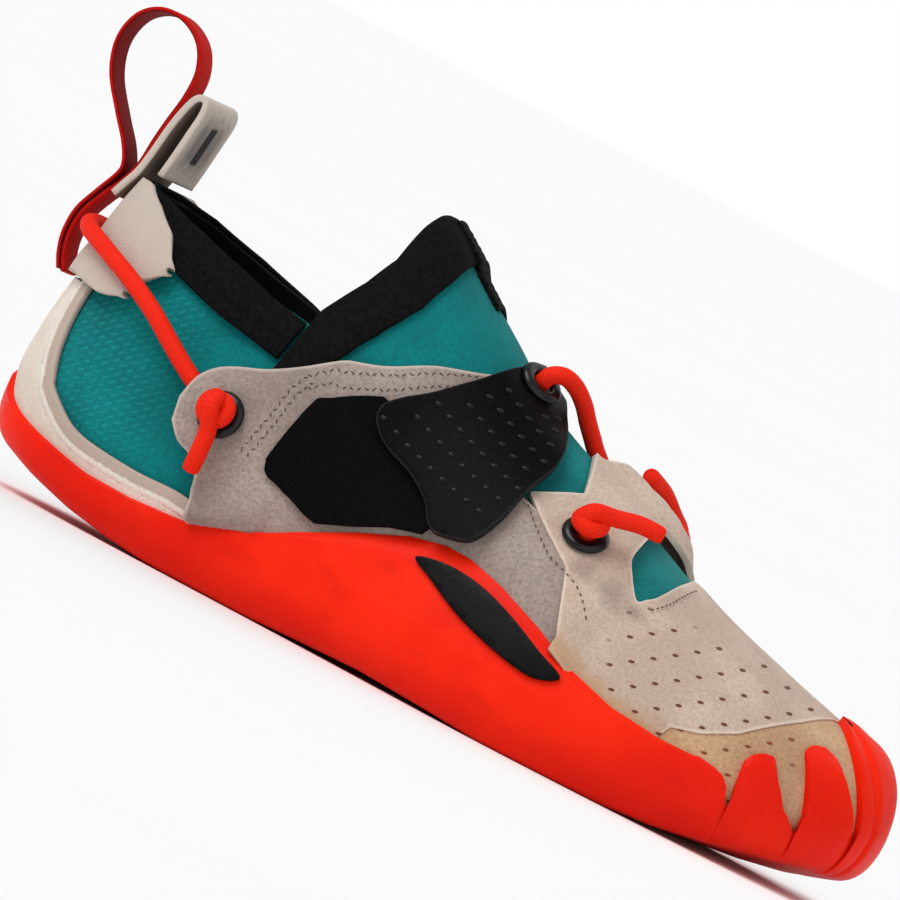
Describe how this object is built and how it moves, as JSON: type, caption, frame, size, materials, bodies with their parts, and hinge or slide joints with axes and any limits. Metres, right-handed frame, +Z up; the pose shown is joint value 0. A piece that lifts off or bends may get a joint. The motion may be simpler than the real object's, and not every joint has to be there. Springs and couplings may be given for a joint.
{
  "type": "climbing shoe",
  "caption": "Low climbing shoe with a wrapped rubber sole and toe lobes, a stretch bootie under suede panels, a cord-held closure strap and a heel pull loop.",
  "frame": {"origin": "middle of the flat under the heel, on the floor", "axes": "+X to the toe, +Y to the inner side of the foot, +Z up"},
  "size_m": [0.2135, 0.0765, 0.0991],
  "materials": {
    "rubber": "matte moulded climbing rubber, satin on the lobes",
    "stretch": "matte stretch knit over thin foam, with a fine diagonal dash",
    "suede": "brushed suede",
    "suede_wing": "brushed suede, greyer",
    "suede_cream": "brushed suede, cream",
    "suede_tan": "brushed suede, tan",
    "binding": "matte folded binding tape",
    "strap": "coated strap with small raised dots",
    "loop_pile": "deep black loop pile",
    "eyelet": "black moulded ring",
    "cord": "braided round cord",
    "webbing": "woven narrow tape",
    "insole_board": "matte lining board",
    "plate": "bare inset, satin"
  },
  "bodies": {
    "root": {"sole": "rubber", "upper": "stretch", "insole": "insole_board", "tongue": "stretch", "collar_binding": "binding", "tongue_binding": "binding", "tongue_tape": "binding", "toe_band": "suede_tan", "heel_counter": "suede_cream", "lateral_wing": "suede_wing", "medial_wing": "suede_wing", "vamp": "suede", "strap": "strap", "loop_patch": "loop_pile", "lateral_wing_eyelet": "eyelet", "medial_wing_eyelet": "eyelet", "lateral_bridge_eyelet": "eyelet", "medial_bridge_eyelet": "eyelet", "strap_eyelet": "eyelet", "heel_tab": "suede_cream", "pull_loop": "webbing", "heel_tab_middle": "suede_cream", "heel_tab_lower": "suede_cream", "heel_cord": "cord", "front_cord": "cord", "lateral_wing_knot": "cord", "medial_wing_knot": "cord", "lateral_bridge_knot": "cord", "medial_bridge_knot": "cord", "rand_plate": "plate"}
  },
  "joints": []
}
